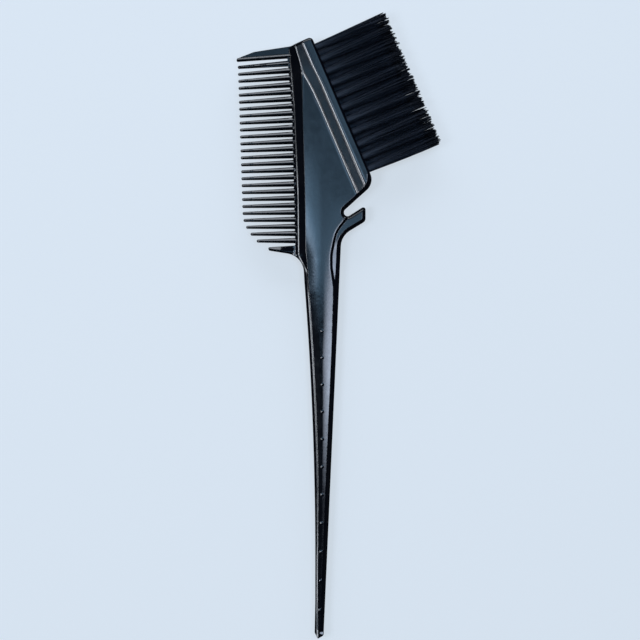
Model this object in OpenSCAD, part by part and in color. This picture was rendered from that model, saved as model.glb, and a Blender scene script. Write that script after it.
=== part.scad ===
// Tint brush: a one-piece moulded tail handle, comb and bristle block, tufted with nylon bristles.
// It lies flat. +X points to the bristle side, +Y to the head and +Z up through the thickness.
// The origin is under the middle of its outline, on the surface that the block lies on.

/* [Thickness] */
// Thickness of the bristle block
block_t = 9; // [8.8:0.1:9.6]
// Thickness of the raised web, and of the handle where they meet
web_t = 6; // [5.8:0.1:6.4]
// Thickness that is left along the thin outer rim and the hook
rim_t = 4; // [3.6:0.1:4.4]
// Thickness of the handle at its pointed end
tip_t = 3.2; // [2.8:0.1:3.6]

/* [Brush face] */
// Angle of the bristles above square to the handle, in degrees
lean = 23.2; // [22.8:0.1:23.6]
// Width of the flat top of the block
flat_top_w = 3; // [2.8:0.1:3.2]
// Width of the ramp from the web up to the block
ramp_w = 3.9; // [3.6:0.1:4.2]

/* [Tufts] */
// Number of tufts in the front row; the back row has one fewer, half a pitch over
front_tufts = 11; // [9:1:11]
// Distance between neighbouring tufts of a row
tuft_pitch = 4.55; // [4.4:0.01:4.6]
// Distance between the two rows
row_gap = 3.7; // [3.6:0.05:3.8]
// Diameter of a tuft in its hole
tuft_d = 2.8; // [2.6:0.05:2.85]
// Diameter of a tuft at its free end
tuft_end_d = 4; // [3:0.1:4.2]
// Length of the bristles that stand out of the block
bristle_l = 26.8; // [24:0.1:28]
// Depth of a tuft hole
hole_depth = 5; // [4.6:0.1:5.2]

/* [Anchors] */
// Length of the flat anchor wire, pressed into the hole's wall at both ends
anchor_l = 3.5; // [3.3:0.05:3.7]
// Width of the anchor wire, along the hole
anchor_w = 1.6; // [1.2:0.1:1.8]
// Thickness of the anchor wire
anchor_t = 0.3; // [0.25:0.05:0.4]

/* [Comb] */
// Number of comb teeth between the two guard teeth
tooth_count = 26; // [20:1:26]
// Distance between neighbouring teeth along the spine
tooth_pitch = 2.44; // [2.4:0.005:2.45]
// Width of a tooth at the spine
tooth_root_w = 1.85; // [1.5:0.05:1.9]
// Width of a tooth at its free end
tooth_end_w = 1; // [0.8:0.05:1.1]
// Thickness of the teeth at the spine
tooth_root_t = 3.2; // [2.8:0.1:3.4]
// Thickness of the teeth at their free ends
tooth_end_t = 1.6; // [1.4:0.1:1.8]

/* [Handle] */
// Height on the long axis of the handle's pointed end
tip_y = -107.6; // [-109:0.1:-106]
// Width of the bevel along the handle's sides at the neck
bevel_w = 1.4; // [1:0.1:1.5]
// Width of that bevel at the pointed end
tip_bevel_w = 0.8; // [0.6:0.1:1]
// Number of raised dots on each face
pip_count = 11; // [5:1:11]
// Distance from the first dot to the next; the gaps grow slightly towards the pointed end
pip_pitch = 9.05; // [8.6:0.01:9.2]
// Radius of the ball that stands up as a dot
pip_r = 0.45; // [0.35:0.05:0.55]

/* [Hidden] */
mid_z = block_t / 2;
gloss_black = [0.07, 0.08, 0.09];
bristle_black = [0.12, 0.13, 0.15];
wire_grey = [0.72, 0.7, 0.66];
hole_clearance = 0.05;
arc_step = 15;

// Middle of the brush face, and its ends measured along it from that middle
face_mid = [0.85, 74.9];
face_top = 26.6;
face_foot = -28;
face_chamfer = 0.6;
spine_bend_y = 74;
neck_y = 15;

function unit(v) = v / norm(v);
function xy(p) = [p[0], p[1]];

// Place on the plan, from the distance along the brush face and the distance out of it
function head(along, out) =
    face_mid + along * [-sin(lean), cos(lean)] + out * [cos(lean), sin(lean)];

// The arc of radius r that rounds the corner b between a and c
function corner_arc(a, b, c, r) =
    let (u = unit(a - b), v = unit(c - b))
    let (half = acos(u * v) / 2)
    let (centre = b + unit(u + v) * r / sin(half))
    let (from = b + u * r / tan(half) - centre, to = b + v * r / tan(half) - centre)
    let (start = atan2(from[1], from[0]))
    let (turn = (atan2(to[1], to[0]) - start + 540) % 360 - 180)
    let (steps = max(2, ceil(abs(turn) / arc_step)))
    [for (i = [0:steps]) centre + r * [cos(start + turn * i / steps), sin(start + turn * i / steps)]];

// Closed outline from corners [x, y, radius]; a radius of 0 keeps the point as it is
function rounded(corners) =
    let (n = len(corners))
    [for (i = [0:n - 1])
        let (c = corners[i])
        each (c[2] == 0
            ? [xy(c)]
            : corner_arc(xy(corners[(i + n - 1) % n]), xy(c), xy(corners[(i + 1) % n]), c[2]))];

// Handle's straight side, on +X, and its long shallow arc, on -X
function front_x(y) = 0.3 + 0.0419 * (y - 23);
function back_x(y) = -8.37 - pow(max(0, y + 80), 2) / 2420;
function bevel(y) = tip_bevel_w + (bevel_w - tip_bevel_w) * (y - tip_y) / (neck_y - tip_y);
function raised_front_x(y) = front_x(y) - bevel(y);
function raised_back_x(y) = back_x(y) + bevel(y);

// Height on the long axis of dot i, counted from the neck
function pip_y(i) = -1.8 - pip_pitch * i - 0.055 * i * i;

// Comb: place of a tooth's root on the spine, its tilt, and the x that its free end reaches
function spine_x(y) = -16.35 - 0.088 * max(0, y - spine_bend_y) + 0.024 * max(0, spine_bend_y - y);
function tooth_y(i) = 90.4 - tooth_pitch * i;
function tooth_tilt(i) = 4.5 - 0.148 * i;
function tooth_end_x(i) = -35.1 + 0.08 * i + 0.3 * pow(max(0, i - 21.1), 2);

// Distance of tuft i along the brush face, in a row of count tufts
function tuft_s(i, count) = tuft_pitch * (i - (count - 1) / 2);

function two_digits(i) = i < 10 ? str("0", i) : str(i);
function row_names(stem, count) = [for (i = [1:count]) str(stem, two_digits(i))];

// Outline of the thin rim: handle, hook, rim notch, block, top guard tooth, spine, bottom guard tooth
rim_corners = [
    [-8.6, tip_y + 2, 0.8],
    [-7.5, tip_y - 0.1, 0.3],
    [-5.5, tip_y + 1, 0.9],
    [0.6, 31, 6.5],
    [8.95, 36.1, 1.6],
    [8.95, 41.5, 0.8],
    [1.6, 36.8, 1.2],
    [1.5, 39.75, 1.2],
    [each head(face_foot, 0), 4.4],
    [each head(face_top, 0), 1.4],
    [each head(face_top, -7.9), 5],
    [-29.5, 94.35, 6],
    [-35.4, 92.05, 0.4],
    [-35.5, 90.95, 0.4],
    [spine_x(92.2), 92.2, 0.4],
    [spine_x(spine_bend_y), spine_bend_y, 200],
    [spine_x(27.7), 27.7, 0.4],
    [-24.7, 27.05, 0.45],
    [-24.3, 25.95, 0.45],
    [-12.6, 24.1, 6.6],
    for (y = [neck_y:-10:-95]) [back_x(y), y, 0],
];

// Outline of the raised web and handle, inside the bevel
raised_corners = [
    [raised_back_x(tip_y + 3), tip_y + 3, 0.3],
    [raised_front_x(tip_y + 3), tip_y + 3, 0.3],
    [raised_front_x(neck_y - 1), neck_y - 1, 3],
    [-3.15, 18.5, 4],
    [-3.15, 24.5, 14],
    [-1.5, 32.4, 10],
    [2.2, 37, 0.8],
    [0.9, 40.2, 0.8],
    [5.6, 44.6, 1],
    [each head(face_foot + 3, -3.5), 1],
    [each head(face_top - 1, -3.5), 1],
    [each head(face_top - 1, -7), 2],
    [spine_x(87) + 4.5, 87, 2],
    [spine_x(spine_bend_y) + 3.75, spine_bend_y, 150],
    [spine_x(30) + 3.75, 30, 20],
    [raised_back_x(neck_y) + 0.3, neck_y + 3, 20],
    for (y = [5:-10:-95]) [raised_back_x(y), y, 0],
];

front_row_z = mid_z + row_gap / 2;
back_row_z = mid_z - row_gap / 2;
back_tufts = front_tufts - 1;

// Local frame of a tuft: +X out of the hole, +Y along the face, the origin at the hole's mouth
module at_tuft(i, count, z) {
    mouth = head(tuft_s(i, count), 0);
    translate([mouth[0], mouth[1], z]) rotate([0, 0, lean]) children();
}

module tuft_hole() {
    r = tuft_d / 2 + hole_clearance;
    rotate([0, 90, 0]) translate([0, 0, -hole_depth]) cylinder(h = hole_depth + 1, r = r, $fn = 32);
}

module anchor_wire() {
    translate([-hole_depth + 0.5, -anchor_l / 2, -anchor_t / 2]) cube([anchor_w, anchor_l, anchor_t]);
}

// Bristles folded over the anchor at the bottom of the hole, and spreading towards the free end
module folded_tuft() {
    difference() {
        rotate([0, 90, 0]) union() {
            translate([0, 0, -hole_depth]) cylinder(h = hole_depth, r = tuft_d / 2, $fn = 32);
            cylinder(h = bristle_l, r1 = tuft_d / 2, r2 = tuft_end_d / 2, $fn = 32);
        }
        anchor_wire();
    }
}

// What lies under the handle's taper in thickness: full_t at the web, end_t at the pointed end
module thickness_taper(full_t, end_t) {
    rotate([90, 0, 90]) translate([0, 0, -60]) linear_extrude(120) polygon([
        [tip_y - 1, mid_z - end_t / 2],
        [tip_y + 10, mid_z - end_t / 2],
        [24, mid_z - full_t / 2],
        [120, mid_z - full_t / 2],
        [120, mid_z + full_t / 2],
        [24, mid_z + full_t / 2],
        [tip_y + 10, mid_z + end_t / 2],
        [tip_y - 1, mid_z + end_t / 2],
    ]);
}

module thin_rim() {
    intersection() {
        linear_extrude(block_t) polygon(rounded(rim_corners));
        thickness_taper(rim_t, tip_t / 2);
    }
}

module raised_face() {
    intersection() {
        linear_extrude(block_t) polygon(rounded(raised_corners));
        thickness_taper(web_t, tip_t);
    }
}

// Thick block with a ramp down to the web, cut to the outline of the head
module bristle_block() {
    intersection() {
        linear_extrude(block_t) polygon(rounded(rim_corners));
        translate([face_mid[0], face_mid[1], mid_z]) rotate([0, 0, lean]) rotate([90, 0, 0])
            translate([0, 0, -face_top - 1]) linear_extrude(face_top - face_foot + 2) polygon([
                [0, block_t / 2 - face_chamfer],
                [-face_chamfer, block_t / 2],
                [-flat_top_w, block_t / 2],
                [-flat_top_w - ramp_w, web_t / 2],
                [-flat_top_w - ramp_w, -web_t / 2],
                [-flat_top_w, -block_t / 2],
                [-face_chamfer, -block_t / 2],
                [0, -block_t / 2 + face_chamfer],
            ]);
    }
}

// One tooth on the plan: straight sides drawn in to a round end
module tooth_plan(i) {
    root = [spine_x(tooth_y(i)), tooth_y(i)];
    length = root[0] - tooth_end_x(i);
    end_r = tooth_end_w / 2;
    translate(root) rotate(tooth_tilt(i)) polygon([
        [1, -tooth_root_w / 2],
        [1, tooth_root_w / 2],
        for (a = [90:45:270]) [-length + end_r + end_r * cos(a), end_r * sin(a)],
    ]);
}

module comb_teeth() {
    intersection() {
        linear_extrude(block_t) union() {
            for (i = [0:tooth_count - 1]) tooth_plan(i);
        }
        rotate([-90, 0, 0]) linear_extrude(120) polygon([
            [-14, -mid_z - tooth_root_t / 2],
            [-36, -mid_z - tooth_end_t / 2],
            [-36, -mid_z + tooth_end_t / 2],
            [-14, -mid_z + tooth_root_t / 2],
        ]);
    }
}

// Row of small dots up the middle of the handle, on both faces
module handle_pips() {
    for (i = [0:pip_count - 1]) {
        y = pip_y(i);
        face_t = tip_t + (web_t - tip_t) * (y - tip_y - 10) / (24 - tip_y - 10);
        x = (front_x(y) + back_x(y)) / 2 - 0.15;
        for (side = [-1, 1]) {
            translate([x, y, mid_z + side * (face_t / 2 - 0.15)]) sphere(r = pip_r, $fn = 24);
        }
    }
}

module moulded_body() {
    color(gloss_black) difference() {
        union() {
            thin_rim();
            raised_face();
            bristle_block();
            comb_teeth();
            handle_pips();
        }
        for (i = [0:front_tufts - 1]) at_tuft(i, front_tufts, front_row_z) union() {
            tuft_hole();
            anchor_wire();
        }
        for (i = [0:back_tufts - 1]) at_tuft(i, back_tufts, back_row_z) union() {
            tuft_hole();
            anchor_wire();
        }
    }
}

module tuft(i, count, z) {
    color(bristle_black) at_tuft(i, count, z) folded_tuft();
}

module anchor(i, count, z) {
    color(wire_grey) at_tuft(i, count, z) anchor_wire();
}

moulded_body();
for (i = [0:front_tufts - 1]) {
    number = two_digits(i + 1);
    tuft(i, front_tufts, front_row_z);
    anchor(i, front_tufts, front_row_z);
}
for (i = [0:back_tufts - 1]) {
    number = two_digits(i + 1);
    tuft(i, back_tufts, back_row_z);
    anchor(i, back_tufts, back_row_z);
}
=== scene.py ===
"""Tint brush: gloss black moulded body with a comb and a hook, and staggered rows of nylon bristles.

Plan sizes and thicknesses below are in millimetres, in the CAD part's frame, and go to metres when a
mesh is made. +X is the bristle side, +Y the head and +Z up through the thickness.
"""

import math
import random

import bpy
import numpy as np
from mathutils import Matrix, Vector, kdtree
from mathutils.geometry import delaunay_2d_cdt


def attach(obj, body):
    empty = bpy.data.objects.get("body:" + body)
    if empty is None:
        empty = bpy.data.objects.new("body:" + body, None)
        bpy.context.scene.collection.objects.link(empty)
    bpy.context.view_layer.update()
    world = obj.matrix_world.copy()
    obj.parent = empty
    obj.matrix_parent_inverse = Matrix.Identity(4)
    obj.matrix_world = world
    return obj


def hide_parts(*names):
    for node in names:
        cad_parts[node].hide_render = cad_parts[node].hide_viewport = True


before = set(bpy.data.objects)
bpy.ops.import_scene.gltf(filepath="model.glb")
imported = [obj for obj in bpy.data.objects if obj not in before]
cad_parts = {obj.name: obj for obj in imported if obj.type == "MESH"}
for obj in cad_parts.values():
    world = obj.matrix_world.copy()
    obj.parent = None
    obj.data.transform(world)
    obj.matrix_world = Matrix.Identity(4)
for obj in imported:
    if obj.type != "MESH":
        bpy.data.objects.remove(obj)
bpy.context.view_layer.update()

MM = 0.001

# Thicknesses, as in the CAD part
BLOCK_T = 9.0
WEB_T = 6.0
RIM_T = 4.0
TIP_T = 3.2
MID_Z = BLOCK_T / 2

# Brush face
LEAN = math.radians(23.2)
ALONG = np.array([-math.sin(LEAN), math.cos(LEAN)])
OUT = np.array([math.cos(LEAN), math.sin(LEAN)])
FACE_MID = np.array([0.85, 74.9])
FACE_TOP = 26.6
FACE_FOOT = -28.0
FLAT_TOP_W = 3.0
RAMP_W = 3.9

# Tufts
FRONT_TUFTS = 11
TUFT_PITCH = 4.55
ROW_GAP = 3.7
TUFT_D = 2.8
TUFT_END_D = 4.0
HOLE_CLEARANCE = 0.05
BRISTLE_L = 26.8
HOLE_DEPTH = 5.0
ANCHOR_L, ANCHOR_W, ANCHOR_T = 3.5, 1.6, 0.3

# Filaments of a tuft; the spread is their reach at the free end, as a share of the tuft's radius there
FILAMENT_SIDES = 5
FILAMENT_PAIRS = 72
FILAMENT_R = 0.1
FILAMENT_CLUMPS = 12
TUFT_SPREAD = 1.13
GOLDEN_ANGLE = 2.399963
GOLDEN_PART = 0.618034

# Comb; the tilts are in degrees, and the reach is how far the free ends are from the Y axis
TOOTH_COUNT = 26
TOOTH_TILT = 4.5
TOOTH_TILT_STEP = 0.148
COMB_REACH = 35.1
TOOTH_PITCH = 2.44
TOOTH_TOP_Y = 90.4
TOOTH_ROOT_W, TOOTH_END_W = 1.85, 1.0
TOOTH_ROOT_T, TOOTH_END_T = 3.2, 1.6
SPINE_BEND_Y = 74.0

# Handle
TIP_Y = -107.6
NECK_Y = 15.0
PIP_COUNT = 11
PIP_PITCH = 9.05
PIP_GROWTH = 0.055
PIP_TOP_Y = -1.8
PIP_SHIFT = 0.2
PIP_R = 0.55

# Edge rounding: a quarter round of EDGE_R all round the outline, as angles from the top to the wall
EDGE_R = 0.18
EDGE_ANGLES = (90, 60, 30, 0)

# View: the width that fills the picture, and the place on the plan that the camera stands over
VIEW_W = 220.2
VIEW_CENTRE = (-6.74, 2.03)


# ---------------------------------------------------------------- plan outline

def head(along, out):
    """Place on the plan from the distance along the brush face and the distance out of it."""
    return FACE_MID + along * ALONG + out * OUT


def front_x(y):
    return 0.3 + 0.0419 * (y - 23)


def back_x(y):
    return -8.37 - np.maximum(0, y + 80) ** 2 / 2420


def spine_x(y):
    return -16.35 - 0.088 * max(0, y - SPINE_BEND_Y) + 0.024 * max(0, SPINE_BEND_Y - y)


def rounded(corners, arc_step=12.0):
    """Closed outline from corners (x, y, radius), with the round ones as arcs."""
    points = []
    count = len(corners)
    for i, (x, y, radius) in enumerate(corners):
        b = np.array([x, y])
        if radius == 0:
            points.append(b)
            continue
        a = np.array(corners[i - 1][:2])
        c = np.array(corners[(i + 1) % count][:2])
        u = (a - b) / np.linalg.norm(a - b)
        v = (c - b) / np.linalg.norm(c - b)
        half = math.acos(np.clip(u @ v, -1, 1)) / 2
        bisector = (u + v) / np.linalg.norm(u + v)
        centre = b + bisector * radius / math.sin(half)
        start = b + u * radius / math.tan(half) - centre
        end = b + v * radius / math.tan(half) - centre
        first = math.atan2(start[1], start[0])
        turn = (math.atan2(end[1], end[0]) - first + 3 * math.pi) % (2 * math.pi) - math.pi
        steps = max(3, math.ceil(abs(math.degrees(turn)) / arc_step))
        for k in range(steps + 1):
            angle = first + turn * k / steps
            points.append(centre + radius * np.array([math.cos(angle), math.sin(angle)]))
    return np.array(points)


def tooth_corners(i):
    """One comb tooth, out along its upper side and back along its lower side."""
    y = TOOTH_TOP_Y - TOOTH_PITCH * i
    root = np.array([spine_x(y), y])
    tilt = math.radians(TOOTH_TILT - TOOTH_TILT_STEP * i)
    length = root[0] + COMB_REACH - 0.08 * i - 0.3 * max(0, i - 21.1) ** 2
    axis = np.array([math.cos(tilt), math.sin(tilt)])
    across = np.array([-axis[1], axis[0]])
    places = [
        (0, TOOTH_ROOT_W / 2, 0.26),
        (-length, TOOTH_END_W / 2, 0.48),
        (-length, -TOOTH_END_W / 2, 0.48),
        (0, -TOOTH_ROOT_W / 2, 0.26),
    ]
    return [(*(root + u * axis + v * across), r) for u, v, r in places], root, axis, across, length


def rim_corners(teeth):
    """Handle, hook, notch, block, top guard tooth, spine or its teeth, and bottom guard tooth."""
    if teeth:
        spine = [c for i in range(TOOTH_COUNT) for c in tooth_corners(i)[0]]
    else:
        spine = [(spine_x(SPINE_BEND_Y), SPINE_BEND_Y, 200)]
    return [
        (-8.6, TIP_Y + 2, 0.8),
        (-7.5, TIP_Y - 0.1, 0.3),
        (-5.5, TIP_Y + 1, 0.9),
        (0.6, 31, 6.5),
        (8.95, 36.1, 1.6),
        (8.95, 41.5, 0.8),
        (1.6, 36.8, 1.2),
        (1.5, 39.75, 1.2),
        (*head(FACE_FOOT, 0), 4.4),
        (*head(FACE_TOP, 0), 1.4),
        (*head(FACE_TOP, -7.9), 5),
        (-29.5, 94.35, 6),
        (-35.4, 92.05, 0.4),
        (-35.5, 90.95, 0.4),
        (spine_x(92.2), 92.2, 0.4),
        *spine,
        (spine_x(27.7), 27.7, 0.4),
        (-24.7, 27.05, 0.45),
        (-24.3, 25.95, 0.45),
        (-12.6, 24.1, 6.6),
        *[(back_x(y), y, 0) for y in range(int(NECK_Y), -97, -5)],
    ]


def raised_corners():
    """Where the raised web and handle end; it runs past the outline where they reach the edge."""
    return [
        (back_x(TIP_Y + 3) + 0.9, TIP_Y + 3, 0.3),
        (front_x(TIP_Y + 3) - 0.9, TIP_Y + 3, 0.3),
        (front_x(NECK_Y - 2) - 1.85, NECK_Y - 2, 6),
        (-3.1, 20, 8),
        (-3.15, 24.5, 14),
        (-1.5, 32.4, 10),
        (3.6, 38.9, 2),
        (12, 47, 1),
        (*head(FACE_FOOT - 3, 3), 1),
        (*head(FACE_TOP + 4, 3), 1),
        (*head(FACE_TOP + 4, -6.2), 1),
        (-12.9, 87.0, 8),
        (-12.45, 70, 60),
        (-11.8, 45, 60),
        (-11.6, 26.5, 5),
        (-11.05, 19.8, 5),
        *[(back_x(y) + rib_inset(y) + 0.36, y, 0) for y in range(12, -97, -5)],
    ]


def rib_inset(y):
    """How far the light-catching ledge lies in from the handle's back edge."""
    return 0.6 + 0.43 * ease(y, -95, -35)


def rib_line():
    """The narrow ledge that runs down the spine and on down the handle's back edge."""
    return rounded([
        (-17.5, 97.5, 0),
        (-15.5, 75.5, 60),
        (-14.2, 45, 80),
        (-14.0, 24.3, 2.5),
        (-11.35, 19.0, 5),
        *[(back_x(y) + rib_inset(y), y, 0) for y in range(12, -107, -5)],
        (back_x(TIP_Y) + rib_inset(TIP_Y), TIP_Y - 6, 0),
        (30, TIP_Y - 6, 0),
        (30, 110, 0),
        (-17.5, 110, 0),
    ])


# ---------------------------------------------------------------- distances

def densify(loop, step, closed=True):
    """Splits every stretch that is longer than step, which may depend on its middle."""
    points = []
    count = len(loop) if closed else len(loop) - 1
    for i in range(count):
        a, b = loop[i], loop[(i + 1) % len(loop)]
        gap = np.linalg.norm(b - a)
        if gap < 1e-6:
            continue
        limit = step((a + b) / 2) if callable(step) else step
        parts = max(1, math.ceil(gap / limit))
        points += [a + (b - a) * k / parts for k in range(parts)]
    if not closed:
        points.append(loop[-1])
    return np.array(points)


def line_distance(points, line, closed):
    """Distance of each point from a line, and which points a closed line encloses."""
    a = line if closed else line[:-1]
    b = np.roll(line, -1, axis=0) if closed else line[1:]
    ab = b - a
    length2 = np.maximum((ab ** 2).sum(1), 1e-12)
    distance = np.empty(len(points))
    inside = np.zeros(len(points), bool)
    for first in range(0, len(points), 400):
        p = points[first:first + 400, None, :]
        along = np.clip(((p - a) * ab).sum(2) / length2, 0, 1)
        gap = p - (a + along[..., None] * ab)
        distance[first:first + 400] = np.sqrt((gap ** 2).sum(2).min(1))
        if closed:
            above = (a[:, 1] > p[..., 1]) != (b[:, 1] > p[..., 1])
            rise = np.where(ab[:, 1] == 0, 1e-12, ab[:, 1])
            crossing = a[:, 0] + (p[..., 1] - a[:, 1]) * ab[:, 0] / rise
            inside[first:first + 400] = (above & (p[..., 0] < crossing)).sum(1) % 2 == 1
    return distance, inside


def signed_distance(points, loop):
    distance, inside = line_distance(points, loop, True)
    return np.where(inside, distance, -distance)


def outward(loop):
    """Outward normals of a closed loop that runs anticlockwise."""
    before = loop - np.roll(loop, 1, axis=0)
    after = np.roll(loop, -1, axis=0) - loop
    before /= np.linalg.norm(before, axis=1)[:, None]
    after /= np.linalg.norm(after, axis=1)[:, None]
    tangent = before + after
    tangent /= np.linalg.norm(tangent, axis=1)[:, None]
    return np.stack([tangent[:, 1], -tangent[:, 0]], 1)


# ---------------------------------------------------------------- height of the faces

def soft_max(a, b, width):
    share = np.clip(0.5 + 0.5 * (a - b) / width, 0, 1)
    return b * (1 - share) + a * share + width * share * (1 - share)


def soft_min(a, b, width):
    return -soft_max(-a, -b, width)


def ease(value, low, high):
    t = np.clip((value - low) / (high - low), 0, 1)
    return t * t * (3 - 2 * t)


RIM_LOOP = rounded(rim_corners(teeth=False))
RAISED_LOOP = rounded(raised_corners())
RIB_LOOP = rib_line()
TEETH = [tooth_corners(i)[1:] for i in range(TOOTH_COUNT)]


def handle_middle(y):
    return (front_x(y) + back_x(y)) / 2 - 0.35


def pip_y(i):
    return PIP_TOP_Y - PIP_PITCH * i - PIP_GROWTH * i ** 2


def tooth_height(x, y):
    """Half thickness of the comb teeth: a roof along each tooth, thinner towards its free end."""
    height = np.full(len(x), -4.0)
    for root, axis, across, length in TEETH:
        u = (x - root[0]) * axis[0] + (y - root[1]) * axis[1]
        v = (x - root[0]) * across[0] + (y - root[1]) * across[1]
        near = (u > -length - 1) & (u < 2) & (np.abs(v) < 1.2)
        un, vn = u[near], v[near]
        share = np.clip(-un / length, 0, 1)
        half_w = (TOOTH_ROOT_W + (TOOTH_END_W - TOOTH_ROOT_W) * share) / 2
        half_t = (TOOTH_ROOT_T + (TOOTH_END_T - TOOTH_ROOT_T) * share) / 2
        half_t = half_t * (1 - 0.3 * np.clip(1 - (un + length) / 1.2, 0, 1) ** 2)
        crest = -0.05 * half_w
        fall = np.where(vn > crest, 0.78, 0.74)
        roof = half_t - fall * (np.sqrt((vn - crest) ** 2 + 0.1 ** 2) - 0.1)
        roof = roof - 4.0 * np.maximum(0, np.abs(vn) - half_w - 0.02) - 0.6 * np.maximum(0, un) ** 2
        height[near] = np.maximum(height[near], roof)
    return height


def bar_height(x, y, start, end, inset, ridge, rises, falls):
    """Half thickness of a ridged bar whose crest runs at a set inset above the line from start to end."""
    run = np.array(end) - np.array(start)
    run = run / np.linalg.norm(run)
    v = -(x - start[0]) * run[1] + (y - start[1]) * run[0] - inset
    return ridge - np.where(v > 0, rises, falls) * (np.sqrt(v ** 2 + 0.1 ** 2) - 0.1)


def guard_height(x, y):
    """The guard teeth: a flat blade with a crest along its lower side, and a blade that slopes to one."""
    blade = TOOTH_ROOT_T / 2 * (1 - 0.42 * ease(-x, 17, 36))
    upper = bar_height(x, y, (-35.5, 90.95), (-17.95, 92.2), 0.66, blade + 0.12, 0.85, 1.1)
    upper = soft_max(blade - 0.3, upper, 0.08)
    climb = 0.75 - 0.5 * ease(x, -23, -16.5)
    lower = bar_height(x, y, (-24.3, 25.95), (-12.35, 24.1), 0.62, blade + 0.1, climb, 1.1)
    lower = soft_max(blade - 0.8, lower, 0.08)
    fade = 3.0 * np.maximum(0, x + 16.2)
    return np.where(y > 89, upper, np.where((y < 30) & (x < -13), lower, -4.0)) - fade


def side_of(x, middle):
    """0 on the back side of the middle and 1 on the front side, with a short blend."""
    return ease(x - middle, -0.5, 0.5)


def roof_fall(u, y):
    """How far the handle's face falls at a distance u to the front or back of its ridge."""
    soft = 0.35 + 2.2 * ease(y, -12, 13)
    fall = math.tan(math.radians(7)) * (1 - ease(y, 6, 44))
    plane = fall * (np.sqrt(u ** 2 + soft ** 2) - soft)
    curved = 0.5 * plane + 0.073 * fall * u ** 2
    return np.where(u > 0, curved, plane)


def web_fall(u, y):
    """How far the web falls towards its back edge, at a distance u in from it."""
    return 0.0044 * ease(y, 10, 24) * np.clip(6 - u, 0, 7) ** 2


def face_height(points):
    """Height of the moulding's face above its middle plane."""
    x, y = points[:, 0], points[:, 1]
    rel = points - FACE_MID
    along, out = rel @ ALONG, rel @ OUT
    edge = signed_distance(points, RIM_LOOP)
    inset = signed_distance(points, RAISED_LOOP)
    past_rib = signed_distance(points, RIB_LOOP)

    # Thickness falls from the web to the pointed end
    full = WEB_T / 2
    slim = (WEB_T - TIP_T) / 2 / (24 - TIP_Y - 10)
    top = soft_min(full + 0 * y, full - slim * (24 - y), 0.15)
    scale = top / full
    rim = RIM_T / 2 * (0.4 + 0.6 * (scale - 0.53) / 0.47)

    # Front side of the rim: it falls away where it narrows below the hook
    rim = rim - 0.12 * ease(-y, -32, -26) * np.clip(-inset - 0.45, 0, 2)

    # Roof across the handle, and the thin roll down to the step on the front side of the web
    middle = handle_middle(y)
    base = full * scale
    at_tip = 1 - ease(y, TIP_Y + 1, TIP_Y + 6)
    rim = rim + at_tip * (0.8 * base - rim)
    top = base - roof_fall(x - middle, y)
    top = top - 0.12 * ease(y, 4, 14) * side_of(x, middle) * np.clip(0.6 - inset, 0, 1.2) ** 2
    web_edge = np.maximum(back_x(y) + 1.5, -11.75)
    top = top - web_fall(x - web_edge, y)

    # Ramp up to the bristle block
    past_foot = out + FLAT_TOP_W + RAMP_W + 0.35 * ease(y, 81, 90)
    ramp = full + past_foot * (BLOCK_T - WEB_T) / 2 / RAMP_W
    block = soft_min(BLOCK_T / 2 + 0 * ramp, ramp, 0.26)
    on_head = (along > FACE_FOOT - 6) & (y > 38)
    top = np.where(on_head, soft_max(top, block, 0.24), top)

    # Back side: a steep flank, the ledge, and the bevel up to the web or the handle's roof
    neck = ease(y, 8, 24)
    gain = 0.15 + 0.92 * neck + 0.35 * ease(y, 50, 85)
    crest = base - roof_fall(web_edge - middle, y) - web_fall(0 * y, y)
    rise = np.maximum((gain - 0.07) / np.maximum(past_rib - inset - 0.18, 0.17), 0.5 * (1 - neck))
    bevel = crest + rise * inset + 3.0 * np.maximum(0, inset)
    ledge = crest - gain + 0.07 + 0.3 * (past_rib - 0.18)
    steep = 1.0 - 0.5 * neck + 0.6 * ease(y, 86, 92)
    flank = np.maximum(crest - gain + 0.002 + steep * (past_rib + 0.18), 0.35 * base)
    flank = flank + 4.0 * np.maximum(0, past_rib - 0.18)
    back = soft_min(flank, soft_max(ledge, bevel, 0.03), 0.04)
    back = soft_min(top, back, 0.03)

    # Front side: a step down to the rim, rounded at its top and foot
    front = soft_max(rim, top + (top - rim) / 0.5 * inset, 0.25)
    front = soft_min(top, front, 0.15)
    body = np.where(x < middle, back, front)
    bead = 0.05 * ease(y, 74, 79) * (x < -8) * np.exp(-((inset - 0.2) / 0.17) ** 2)
    body = body + bead

    # Rounding towards the outline
    side = ease(x - middle, -1, 1)
    broad = side * (1 - ease(y, 27, 33))
    width = 0.5 + 0.8 * side + (0.15 + 0.25 * ease(-y, -20, -12)) * broad
    depth = 1.2 * side * np.clip(scale, 0.5, 1) * (1 - 0.8 * at_tip)
    face = ease(out, -5, -2) * on_head
    foot = face * ease(-along, 24, 26)
    depth = depth * (1 - face) + 0.9 * face + 0.5 * foot
    width = width * (1 - face) + 0.95 * face + 0.8 * foot
    end = ease(along, 23.6, 25.2) * (1 - ease(-out, 8.5, 10))
    depth = depth * (1 - end) + 0.9 * end
    width = width * (1 - end) + 0.95 * end
    body = body - depth * np.maximum(0, 1 - edge / width) ** (2 - 0.4 * broad)

    # Pips up the middle of the handle
    for i in range(PIP_COUNT):
        away = np.hypot(x - handle_middle(pip_y(i)) - PIP_SHIFT, y - pip_y(i))
        body = body + 0.21 * np.maximum(0, PIP_R + 0.06 - np.hypot(away, 0.06))

    body = soft_max(body, guard_height(x, y), 0.08)
    return soft_max(body, tooth_height(x, y), 0.08)


# ---------------------------------------------------------------- moulded body

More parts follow.
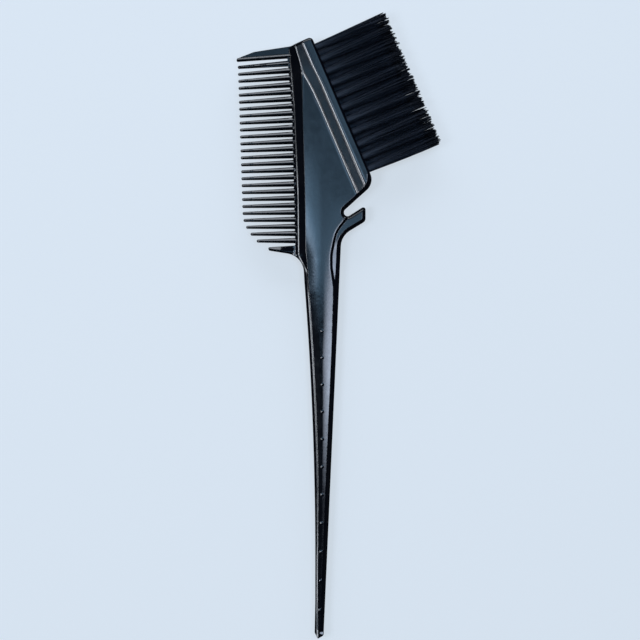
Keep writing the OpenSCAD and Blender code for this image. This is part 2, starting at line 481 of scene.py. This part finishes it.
def inner_points(inner_loop):
    """Points that follow the moulding's features, for the triangles of its faces."""
    sets = []

    def offsets(line, steps, distances):
        dense = densify(line, steps)
        normal = outward(dense)
        for d in distances:
            sets.append(dense - normal * d)

    offsets(RIM_LOOP, 0.7, (0.34, 0.5, 0.7, 0.9, 1.1, 1.3, 1.5, 1.7))
    offsets(RAISED_LOOP, 0.6, (-0.8, -0.6, -0.45, -0.3, -0.18, -0.06, 0.06, 0.18, 0.3, 0.5, 0.8))
    offsets(RIB_LOOP, 0.6, (-0.6, -0.4, -0.24, -0.13, 0, 0.13, 0.24, 0.4))
    for start, end, inset in (
        ((-35.5, 90.95), (-17.0, 92.27), 0.66),
        ((-24.3, 25.95), (-14.0, 24.36), 0.62),
    ):
        a, b = np.array(start), np.array(end)
        side = np.array([a[1] - b[1], b[0] - a[0]]) / np.linalg.norm(b - a)
        for v in (-0.35, -0.2, -0.1, 0, 0.1, 0.2, 0.35, 0.5, 0.6):
            sets.append(np.array([a + (b - a) * t + side * (inset + v) for t in np.linspace(0, 1, 26)]))
    for root, axis, across, length in TEETH:
        for u in np.arange(-length + 0.35, 1.2, 0.8):
            for v in (-0.65, -0.5, -0.33, -0.2, -0.12, -0.04, 0.06, 0.25, 0.45, 0.65):
                sets.append((root + u * axis + v * across)[None])
    ramp_foot = (-8.4, -7.9, -7.4, -7.15, -6.9, -6.65, -6.4, -5.9)
    ramp_top = (-5, -4, -3.5, -3.25, -3, -2.75, -2.5, -2, -1.5)
    for out in ramp_foot + ramp_top:
        sets.append(np.array([head(s, out) for s in np.arange(FACE_FOOT, FACE_TOP, 0.9)]))
    offsets_across = (0, 0.25, -0.25, 0.6, -0.6, 1.1, -1.1, 1.8, -1.8)
    for y in np.arange(TIP_Y + 2, 26, 1.1):
        sets.append(np.array([(handle_middle(y) + u, y) for u in offsets_across]))
    for i in range(PIP_COUNT):
        centre = np.array([handle_middle(pip_y(i)) + PIP_SHIFT, pip_y(i)])
        sets.insert(0, centre[None])
        for radius, spots in ((0.12, 6), (0.24, 10), (0.38, 12), (0.5, 14), (0.57, 16), (0.64, 16)):
            turn = np.arange(spots) * 2 * math.pi / spots + radius * 9
            sets.insert(0, centre + radius * np.stack([np.cos(turn), np.sin(turn)], 1))
    points = np.concatenate(sets)
    cells = np.unique(np.round(points / 0.06), axis=0, return_index=True)[1]
    points = points[np.sort(cells)]

    rows = np.arange(TIP_Y, 101, 0.95)
    columns = np.arange(-37, 13, 1.1)
    grid = np.array([(x + 0.55 * (k % 2), y) for k, y in enumerate(rows) for x in columns])
    tree = kdtree.KDTree(len(points))
    for i, (x, y) in enumerate(points):
        tree.insert((x, y, 0), i)
    tree.balance()
    grid = np.array([g for g in grid if tree.find((g[0], g[1], 0))[2] > 0.6])
    points = np.concatenate([points, grid])
    return points[signed_distance(points, inner_loop) > 0.09]


def normals_of(points):
    """Upward normals of the face, from the slope of its height."""
    step = 0.015
    slopes = []
    for shift in (np.array([step, 0]), np.array([0, step])):
        slopes.append((face_height(points + shift) - face_height(points - shift)) / (2 * step))
    normal = np.stack([-slopes[0], -slopes[1], np.ones(len(points))], 1)
    return normal / np.linalg.norm(normal, axis=1)[:, None]


def face_wall(loop, heights, rows):
    """Triangles of the flat brush face between the loop's top and bottom edges, round its holes.

    It returns the extra corners, as distances along the face and heights, and the triangles. The
    test below keeps the outermost slivers inside each hole, whose middles lie at 0.992 of its radius.
    """
    ring = 40
    along = (loop[rows] - FACE_MID) @ ALONG
    top = list(zip(along, heights[rows]))
    bottom = [(s, -h) for s, h in top]
    outline = top + bottom[::-1]
    count = len(outline)
    edges = [(i, (i + 1) % count) for i in range(count)]
    corners = list(outline)
    hole_rings = []
    for s, z in hole_places():
        first = len(corners)
        for k in range(ring):
            turn = 2 * math.pi * k / ring
            corners.append((s + HOLE_R * math.cos(turn), z - MID_Z + HOLE_R * math.sin(turn)))
        edges += [(first + k, first + (k + 1) % ring) for k in range(ring)]
        hole_rings.append(range(first, first + ring))
    found = delaunay_2d_cdt([Vector(c) for c in corners], edges, [], 1, 1e-6)
    source = [ids[0] for ids in found[3]]
    triangles = []
    centres = np.array(hole_places())
    for face in found[2]:
        middle = np.mean([corners[source[v]] for v in face], axis=0) + (0, MID_Z)
        if np.hypot(*(centres - middle).T).min() > HOLE_R * 0.99:
            triangles.append([source[v] for v in face])
    return corners[count:], triangles, hole_rings, count


HOLE_R = TUFT_D / 2 + HOLE_CLEARANCE


def tuft_places():
    """Row, number, distance along the face and height of every tuft."""
    for row, count, z in (
        ("front", FRONT_TUFTS, MID_Z + ROW_GAP / 2),
        ("back", FRONT_TUFTS - 1, MID_Z - ROW_GAP / 2),
    ):
        for i in range(count):
            yield row, i + 1, TUFT_PITCH * (i - (count - 1) / 2), z


def hole_places():
    return [(s, z) for _, _, s, z in tuft_places()]


def moulded_body():
    """One mesh: both faces, rounded edges, the walls and the blind holes in the brush face.

    Two things in it aren't right: the holes are wound the other way round from the rest, and some
    slivers stay across the holes' mouths (see face_wall). The normals that are set hide the first.
    """
    def step(middle):
        return 0.7 if middle[0] < -17 else 1.0

    outline = densify(rounded(rim_corners(teeth=True)), step)
    normal = outward(outline)
    rings = [outline - normal * EDGE_R * (1 - math.sin(math.radians(a))) for a in EDGE_ANGLES]
    drops = [EDGE_R * (1 - math.cos(math.radians(a))) for a in EDGE_ANGLES]
    count = len(outline)
    inner = inner_points(rings[-1])
    edges = [(i, (i + 1) % count) for i in range(count)]
    flat = [Vector(p) for p in np.concatenate([rings[-1], inner])]
    found = delaunay_2d_cdt(flat, edges, [], 1, 1e-7)
    source = [ids[0] if ids else -1 for ids in found[3]]
    if -1 in source:
        raise ValueError("the outline's inner ring crosses itself")

    plan = np.concatenate(rings[:-1] + [rings[-1], inner])
    height = face_height(plan)
    tilt = normals_of(plan)
    last = 3 * count
    for k, angle in enumerate(EDGE_ANGLES):
        part = slice(k * count, (k + 1) * count)
        height[part] -= drops[k]
        a = math.radians(angle)
        tilt[part] = math.cos(a) * tilt[part] + math.sin(a) * np.c_[normal, np.zeros(count)]
    total = len(plan)
    top = np.c_[plan, MID_Z + height]
    bottom = np.c_[plan, MID_Z - height]
    faces = []
    for k in range(3):
        for i in range(count):
            j = (i + 1) % count
            a, b, c, d = k * count + i, k * count + j, (k + 1) * count + j, (k + 1) * count + i
            faces.append((a, b, c, d))
            faces.append((d + total, c + total, b + total, a + total))
    for face in found[2]:
        ids = [last + source[v] for v in face]
        faces.append(tuple(ids))
        faces.append(tuple(i + total for i in reversed(ids)))

    # Walls between the two faces, with the brush face cut round its holes
    on_face = np.abs((outline - FACE_MID) @ OUT) < 1e-4
    wall_height = height[:count]
    rows = [i for i in range(count) if on_face[i]]
    first_row = next(i for i in rows if not on_face[i - 1])
    rows = [(first_row + k) % count for k in range(len(rows))]
    for i in range(count):
        j = (i + 1) % count
        if not (on_face[i] and on_face[j]):
            faces.append((i, i + total, j + total, j))
    extra, triangles, hole_rings, border = face_wall(outline, wall_height, rows)
    base = 2 * total
    vertices = [*top, *bottom]
    tilts = [*tilt, *(tilt * (1, 1, -1))]
    face_normal = (*OUT, 0)
    for s, h in extra:
        vertices.append((*head(s, 0), MID_Z + h))
        tilts.append(face_normal)

    def wall_id(k):
        if k < len(rows):
            return rows[k]
        if k < border:
            return rows[border - 1 - k] + total
        return base + k - border

    for triangle in triangles:
        ids = [wall_id(k) for k in triangle]
        a, b, c = (np.array(vertices[i]) for i in ids)
        if np.cross(b - a, c - a) @ np.array(face_normal) < 0:
            ids.reverse()
        faces.append(tuple(ids))

    # Blind holes: a short lead-in, the wall and a flat bottom
    for (s, z), ring in zip(hole_places(), hole_rings):
        mouth = [wall_id(k) for k in ring]
        size = len(mouth)
        previous = mouth
        for depth, radius in ((-0.02, HOLE_R), (-HOLE_DEPTH, HOLE_R), (-HOLE_DEPTH, HOLE_R * 0.5)):
            first = len(vertices)
            for k in range(size):
                turn = 2 * math.pi * k / size
                place = head(s + radius * math.cos(turn), depth)
                vertices.append((*place, z + radius * math.sin(turn)))
                inward = -np.array([*(ALONG * math.cos(turn)), math.sin(turn)])
                tilts.append(tuple(inward) if radius == HOLE_R else face_normal)
            current = list(range(first, first + size))
            for k in range(size):
                m = (k + 1) % size
                faces.append((previous[k], current[k], current[m], previous[m]))
            previous = current
        vertices.append((*head(s, -HOLE_DEPTH), z))
        tilts.append(face_normal)
        faces += [(previous[k], len(vertices) - 1, previous[(k + 1) % size]) for k in range(size)]

    return make_mesh("moulded_shell", np.array(vertices), faces, np.array(tilts))


def make_mesh(name, vertices, faces, normals=None):
    """A smooth-shaded object from corners in millimetres."""
    mesh = bpy.data.meshes.new(name)
    mesh.from_pydata((np.asarray(vertices) * MM).tolist(), [], faces)
    mesh.validate()
    for polygon in mesh.polygons:
        polygon.use_smooth = True
    if normals is not None:
        normals = normals / np.linalg.norm(normals, axis=1)[:, None]
        mesh.normals_split_custom_set_from_vertices(normals.tolist())
    mesh.update()
    piece = bpy.data.objects.new(name, mesh)
    bpy.context.scene.collection.objects.link(piece)
    return piece


# ---------------------------------------------------------------- bristles and anchors

def tuft_point(s, z, out, along, up):
    """From a tuft's own frame, out of the hole, along the face and up, to the part's frame."""
    place = head(s + along, out)
    return (place[0], place[1], z + up)


def bristles(name, s, z, seed):
    """A tuft of nylon filaments, each folded once under the anchor and spreading to its two ends.

    Towards their ends the filaments gather into a few points of uneven length.
    """
    rng = random.Random(seed)
    vertices, faces, tones_and_painted_light = [], [], []
    lean_along, lean_up = rng.uniform(-0.1, 0.1), rng.uniform(-0.12, 0.12)
    points_of = []
    for k in range(FILAMENT_CLUMPS):
        radius, turn = math.sqrt((k + 0.5) / FILAMENT_CLUMPS), GOLDEN_ANGLE * k + seed
        points_of.append((
            radius * math.cos(turn) + rng.gauss(0, 0.07),
            radius * math.sin(turn) + rng.gauss(0, 0.07),
            rng.uniform(-0.85, 0.25),
            rng.random(),
        ))
    for k in range(FILAMENT_PAIRS):
        # Places in the upper half of the bundle, spread evenly over a half disc
        radius = math.sqrt((k + 0.5) / FILAMENT_PAIRS)
        turn = math.pi * ((k * GOLDEN_PART) % 1)
        across, depth = radius * math.cos(turn), radius * math.sin(turn)
        legs = []
        own_shade = rng.random()
        for side in (1, -1):
            up = side * depth
            near = min(points_of, key=lambda c: (c[0] - across) ** 2 + (c[1] - up) ** 2)
            gather = rng.uniform(0.45, 0.85)
            spread = TUFT_END_D / 2 * TUFT_SPREAD
            end_along = spread * (across + gather * (near[0] - across)) + rng.gauss(0, 0.07) + lean_along
            end_up = spread * (up + gather * (near[1] - up)) + rng.gauss(0, 0.07) + lean_up
            length = BRISTLE_L - 0.1 + near[2] + rng.uniform(-0.6, 0.1)
            bow_along, bow_up = rng.gauss(0, 0.13), rng.gauss(0, 0.1)
            in_along, in_up = across * 1.24, side * (0.24 + depth * 0.98)
            leg = [(-HOLE_DEPTH + 0.75, in_along, in_up)]
            for t in (0.0, 0.14, 0.34, 0.56, 0.78, 1.0):
                bow = 4 * t * (1 - t)
                mix = t ** 1.1
                leg.append((
                    length * t,
                    in_along * (1 - mix) + end_along * mix + bow_along * bow,
                    in_up * (1 - mix) + end_up * mix + bow_up * bow,
                ))
            legs.append(leg)
        # Random tone for each filament and clump, times painted shade that darkens the filaments at the
        # tuft's sides
        tone_and_painted_light = 0.06 * (own_shade + near[3]) * (1 - 0.5 * across ** 2)
        # Painted highlight: the filaments along the top middle of the tuft are made lighter
        painted_crown_highlight = 1.6 * max(0, depth - 0.3) * (1 - across ** 2) ** 2
        fold = (-HOLE_DEPTH + 0.22, across * 1.2, 0.0)
        route = legs[0][::-1] + [fold] + legs[1]
        points = np.array([tuft_point(s, z, *p) for p in route])
        first = len(vertices)
        tangents = np.gradient(points, axis=0)
        for i, (point, tangent) in enumerate(zip(points, tangents)):
            tangent = tangent / np.linalg.norm(tangent)
            level = abs(tangent[2]) < 0.9
            one = np.cross(tangent, (0.1, 0.2, 1.0) if level else (*ALONG, 0))
            one /= np.linalg.norm(one)
            two = np.cross(tangent, one)
            size = FILAMENT_R * (0.6 if i in (0, len(points) - 1) else 1)
            # The painted highlight fades out over the first six tenths of the filament from its root
            painted_root_highlight = painted_crown_highlight * max(0, 1 - max(0, route[i][0]) / (0.6 * BRISTLE_L)) ** 1.7
            for c in range(FILAMENT_SIDES):
                angle = 2 * math.pi * c / FILAMENT_SIDES
                vertices.append(point + size * (math.cos(angle) * one + math.sin(angle) * two))
                # Each corner stores the random tone plus the painted highlight
                tones_and_painted_light.append(tone_and_painted_light + painted_root_highlight)
        for i in range(len(points) - 1):
            for c in range(FILAMENT_SIDES):
                d = (c + 1) % FILAMENT_SIDES
                a = first + i * FILAMENT_SIDES
                b = a + FILAMENT_SIDES
                faces.append((a + c, a + d, b + d, b + c))
        faces.append(tuple(first + c for c in reversed(range(FILAMENT_SIDES))))
        faces.append(tuple(first + (len(points) - 1) * FILAMENT_SIDES + c for c in range(FILAMENT_SIDES)))
    piece = make_mesh(name, vertices, faces)
    # Per-corner attribute with the random tone, the painted side shade and the painted root highlight
    layer = piece.data.attributes.new("tone_and_painted_light", "FLOAT", "POINT")
    layer.data.foreach_set("value", tones_and_painted_light)
    return piece


def anchor(name, s, z):
    """A short length of flat wire with rounded edges, and ends sheared to a blunt wedge.

    Its faces are wound inside out.
    """
    vertices, faces = [], []
    half_l, half_w, half_t = ANCHOR_L / 2, ANCHOR_W / 2, ANCHOR_T / 2
    middle = -HOLE_DEPTH + 0.5 + half_w
    corner = 0.1
    section = []
    for cu, cv, start in ((1, 1, 0), (-1, 1, 90), (-1, -1, 180), (1, -1, 270)):
        for step in range(4):
            angle = math.radians(start + step * 30)
            section.append((
                cu * (half_w - corner) + corner * math.cos(angle),
                cv * (half_t - corner) + corner * math.sin(angle),
            ))
    stations = ((-1, 0.55), (-0.985, 0.8), (-0.95, 0.96), (-0.9, 1), (-0.3, 1), (0.3, 1),
                (0.9, 1), (0.95, 0.96), (0.985, 0.8), (1, 0.55))
    for reach, size in stations:
        for out, up in section:
            depth = middle + out * (0.94 + 0.06 * size)
            vertices.append(tuft_point(s, z, depth, reach * half_l, up * size))
    count = len(section)
    for i in range(len(stations) - 1):
        for c in range(count):
            d = (c + 1) % count
            faces.append((i * count + c, i * count + d, (i + 1) * count + d, (i + 1) * count + c))
    faces.append(tuple(range(count))[::-1])
    faces.append(tuple(range((len(stations) - 1) * count, len(stations) * count)))
    return make_mesh(name, vertices, faces)


# ---------------------------------------------------------------- materials

def new_material(name):
    material = bpy.data.materials.new(name)
    material.use_nodes = True
    tree = material.node_tree
    return material, tree.nodes, tree.links, tree.nodes["Principled BSDF"]


def noise(nodes, links, scale, detail=4.0, roughness=0.5, stretch=None):
    """A noise texture in the object's own coordinates, in metres."""
    place = nodes.new("ShaderNodeTexCoord")
    texture = nodes.new("ShaderNodeTexNoise")
    texture.inputs["Scale"].default_value = scale
    texture.inputs["Detail"].default_value = detail
    texture.inputs["Roughness"].default_value = roughness
    if stretch:
        mapping = nodes.new("ShaderNodeMapping")
        mapping.inputs["Scale"].default_value = stretch
        links.new(place.outputs["Object"], mapping.inputs["Vector"])
        links.new(mapping.outputs["Vector"], texture.inputs["Vector"])
    else:
        links.new(place.outputs["Object"], texture.inputs["Vector"])
    return texture


def ramp(nodes, links, source, low, high):
    """Maps a noise to a range of values."""
    spread = nodes.new("ShaderNodeMapRange")
    spread.inputs["From Min"].default_value = 0.3
    spread.inputs["From Max"].default_value = 0.7
    spread.inputs["To Min"].default_value = low
    spread.inputs["To Max"].default_value = high
    links.new(source, spread.inputs["Value"])
    return spread.outputs["Result"]


def colour_mix(nodes, links, factor, first, second):
    mix = nodes.new("ShaderNodeMix")
    mix.data_type = "RGBA"
    mix.inputs["A"].default_value = (*first, 1)
    mix.inputs["B"].default_value = (*second, 1)
    links.new(factor, mix.inputs["Factor"])
    return mix.outputs["Result"]


def body_material():
    """Gloss black moulding: slow flow lines, faint haze and rubbed patches, and a very fine skin."""
    material, nodes, links, shader = new_material("gloss_black_plastic")
    patches = noise(nodes, links, 90, 3)
    haze = noise(nodes, links, 420, 5, 0.6)
    skin = noise(nodes, links, 1400, 2, 0.4)
    flow = noise(nodes, links, 60, 2, 0.4, stretch=(2.0, 0.35, 1.0))
    colour = colour_mix(nodes, links, patches.outputs["Fac"], (0.0015, 0.002, 0.004), (0.003, 0.004, 0.007))
    links.new(colour, shader.inputs["Base Color"])
    links.new(ramp(nodes, links, haze.outputs["Fac"], 0.08, 0.135), shader.inputs["Roughness"])
    shader.inputs["IOR"].default_value = 1.53
    first = nodes.new("ShaderNodeBump")
    first.inputs["Strength"].default_value = 0.25
    first.inputs["Distance"].default_value = 0.00002
    links.new(skin.outputs["Fac"], first.inputs["Height"])
    second = nodes.new("ShaderNodeBump")
    second.inputs["Strength"].default_value = 0.3
    second.inputs["Distance"].default_value = 0.00012
    links.new(flow.outputs["Fac"], second.inputs["Height"])
    links.new(first.outputs["Normal"], second.inputs["Normal"])
    links.new(second.outputs["Normal"], shader.inputs["Normal"])
    return material


def bristle_material():
    """Black nylon filaments, some lighter than others at random, with a painted highlight along the top of
    each tuft near the roots, painted shade at the tuft's sides, and uneven gloss.
    """
    material, nodes, links, shader = new_material("black_nylon_bristle")
    tone_and_painted_light = nodes.new("ShaderNodeAttribute")
    tone_and_painted_light.attribute_name = "tone_and_painted_light"
    # Dark nylon colour, mixed towards the lighter colour mostly by the painted root highlight; the random
    # tone moves it only a little
    colour = colour_mix(nodes, links, tone_and_painted_light.outputs["Fac"], (0.001, 0.0015, 0.003), (0.045, 0.055, 0.072))
    links.new(colour, shader.inputs["Base Color"])
    streak = noise(nodes, links, 500, 3)
    links.new(ramp(nodes, links, streak.outputs["Fac"], 0.38, 0.5), shader.inputs["Roughness"])
    shader.inputs["IOR"].default_value = 1.34
    shader.inputs["Specular Tint"].default_value = (0.75, 0.9, 1.25, 1)
    return material


def wire_material():
    """Drawn steel wire with lines along its length and a little tarnish."""
    material, nodes, links, shader = new_material("drawn_wire")
    shader.inputs["Metallic"].default_value = 1.0
    lines = noise(nodes, links, 900, 4, 0.6, stretch=(1, 6, 6))
    tarnish = noise(nodes, links, 1500, 3)
    colour = colour_mix(nodes, links, tarnish.outputs["Fac"], (0.5, 0.48, 0.44), (0.7, 0.68, 0.64))
    links.new(colour, shader.inputs["Base Color"])
    links.new(ramp(nodes, links, lines.outputs["Fac"], 0.22, 0.4), shader.inputs["Roughness"])
    return material


def floor_material():
    """Pale blue paper sweep, with a glow of its own so that it looks evenly lit."""
    material, nodes, links, shader = new_material("pale_sweep")
    grain = noise(nodes, links, 2500, 3)
    colour = colour_mix(nodes, links, grain.outputs["Fac"], (0.28, 0.31, 0.35), (0.30, 0.33, 0.37))
    links.new(colour, shader.inputs["Base Color"])
    shader.inputs["Roughness"].default_value = 0.9
    shader.inputs["Specular IOR Level"].default_value = 0.0
    shader.inputs["Emission Color"].default_value = (0.72, 0.79, 0.85, 1)
    shader.inputs["Emission Strength"].default_value = 0.74
    return material


# ---------------------------------------------------------------- stage

def camera():
    """Square on from above with a long lens, so that 640 pixels span 220 mm."""
    data = bpy.data.cameras.new("camera")
    data.lens = 150
    data.sensor_width = 36
    data.clip_end = 10
    height = VIEW_W * data.lens / data.sensor_width + 6
    eye = bpy.data.objects.new("camera", data)
    eye.location = (VIEW_CENTRE[0] * MM, VIEW_CENTRE[1] * MM, height * MM)
    bpy.context.scene.collection.objects.link(eye)
    bpy.context.scene.camera = eye


def panel(name, place, size, level, colour, turn=(0.0, 0.0, 0.0)):
    """A soft rectangular light that shows at the given brightness in a mirror.

    It faces straight down unless it is turned. Places and sizes are in metres, turns in degrees.
    """
    data = bpy.data.lights.new(name, "AREA")
    data.shape = "RECTANGLE"
    data.size, data.size_y = size
    data.energy = 4 * level * size[0] * size[1]
    data.color = colour
    light = bpy.data.objects.new(name, data)
    light.location = place
    light.rotation_euler = [math.radians(a) for a in turn]
    light.visible_camera = False
    bpy.context.scene.collection.objects.link(light)
    return light


COOL = (0.52, 0.95, 1.42)
PALE = (0.86, 1.0, 1.25)
WHITE = (0.93, 1.0, 1.10)
CEILING = 1.3


def ceiling(name, start, end, level, colour, drop=0.0, turn=0.0):
    """A panel that faces down, from one corner on the plan to the other.

    The drop lowers it, so that panels that overlap don't hide each other.
    """
    size = (end[0] - start[0], end[1] - start[1])
    place = ((start[0] + end[0]) / 2, (start[1] + end[1]) / 2, CEILING - drop)
    panel(name, place, size, level, colour, (0, 0, turn))


def lights():
    """Soft panels overhead, strips to the left and right, and a low panel beyond the head.

    Panels that overlap add up, so each group fades towards its edges in a few steps.
    """
    lean = math.degrees(LEAN)
    ceiling("overhead_wide", (-0.60, -0.01), (0.60, 0.60), 0.45, COOL)
    ceiling("overhead_block", (-0.01, 0.155), (0.30, 0.50), 0.8, COOL, 0.01)
    ceiling("overhead_web", (-0.20, -0.01), (0.20, 0.075), 0.5, COOL, 0.02)
    ceiling("overhead_neck", (-0.20, -0.01), (0.20, 0.11), 0.4, COOL, 0.03)
    ceiling("crown_1", (-0.24, 0.02), (-0.03, 0.13), 0.8, COOL, 0.04)
    ceiling("crown_2", (-0.24, 0.02), (-0.10, 0.12), 0.8, COOL, 0.05)
    ceiling("crown_3", (-0.24, 0.02), (-0.13, 0.11), 1.0, PALE, 0.06)
    ceiling("crown_4", (-0.24, 0.02), (-0.16, 0.10), 1.2, PALE, 0.07)
    ceiling("line_strip", (-0.65, -0.17), (-0.51, 0.08), 16.0, WHITE, 0.02, lean)
    ceiling("ledge_1", (-0.95, -0.215), (-0.77, 0.26), 0.8, WHITE, 0.01)
    ceiling("ledge_2", (-0.95, -0.175), (-0.77, 0.165), 1.6, WHITE, 0.02)
    ceiling("ledge_3", (-0.95, -0.145), (-0.77, 0.125), 2.8, WHITE, 0.03)
    ceiling("ledge_4", (-0.95, -0.115), (-0.77, 0.09), 4.0, WHITE, 0.04)
    ceiling("ledge_bend", (-0.87, -0.42), (-0.67, -0.215), 8.0, WHITE, 0.05)
    ceiling("ramp_glow", (-1.29, -0.46), (-0.95, -0.22), 0.65, COOL, 0.06, lean)
    ceiling("roof_1", (0.10, -0.155), (0.44, 0.02), 1.3, PALE, 0.01)
    ceiling("roof_2", (0.14, -0.142), (0.44, 0.10), 1.5, PALE, 0.02)
    ceiling("roof_3", (0.18, -0.130), (0.44, 0.0), 1.9, PALE, 0.03)
    ceiling("roof_4", (0.215, -0.110), (0.44, -0.03), 2.0, PALE, 0.04)
    ceiling("roof_5", (0.235, -0.090), (0.44, -0.05), 2.0, PALE, 0.05)
    ceiling("plate_glow", (0.24, 0.02), (0.44, 0.10), 5.0, PALE, 0.06)
    panel("head_wall", (0.0, 1.2, 0.42), (1.8, 0.6), 3.4, WHITE, (-90, 0, 0))
    world = bpy.data.worlds.new("studio")
    bpy.context.scene.world = world
    world.use_nodes = True
    world.node_tree.nodes["Background"].inputs["Color"].default_value = (0.80, 0.88, 1.0, 1)
    world.node_tree.nodes["Background"].inputs["Strength"].default_value = 0.02


def floor():
    size = 1.5
    vertices = [(-size, -size, 0), (size, -size, 0), (size, size, 0), (-size, size, 0)]
    mesh = bpy.data.meshes.new("sweep")
    mesh.from_pydata(vertices, [], [(0, 1, 2, 3)])
    sweep = bpy.data.objects.new("sweep", mesh)
    sweep.visible_glossy = False
    bpy.context.scene.collection.objects.link(sweep)
    mesh.materials.append(floor_material())


# ---------------------------------------------------------------- assembly

def dress(piece, material, node):
    piece.data.materials.append(material)
    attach(piece, "root")
    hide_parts(node)


camera()
lights()
floor()
bpy.context.scene.view_settings.view_transform = "Standard"
dress(moulded_body(), body_material(), "moulded_body")
nylon, wire = bristle_material(), wire_material()
for index, (row, number, s, z) in enumerate(tuft_places()):
    tag = f"{row}_{number:02d}"
    dress(bristles(f"bristles_{tag}", s, z, index), nylon, f"tuft_{tag}")
    dress(anchor(f"staple_{tag}", s, z), wire, f"anchor_{tag}")
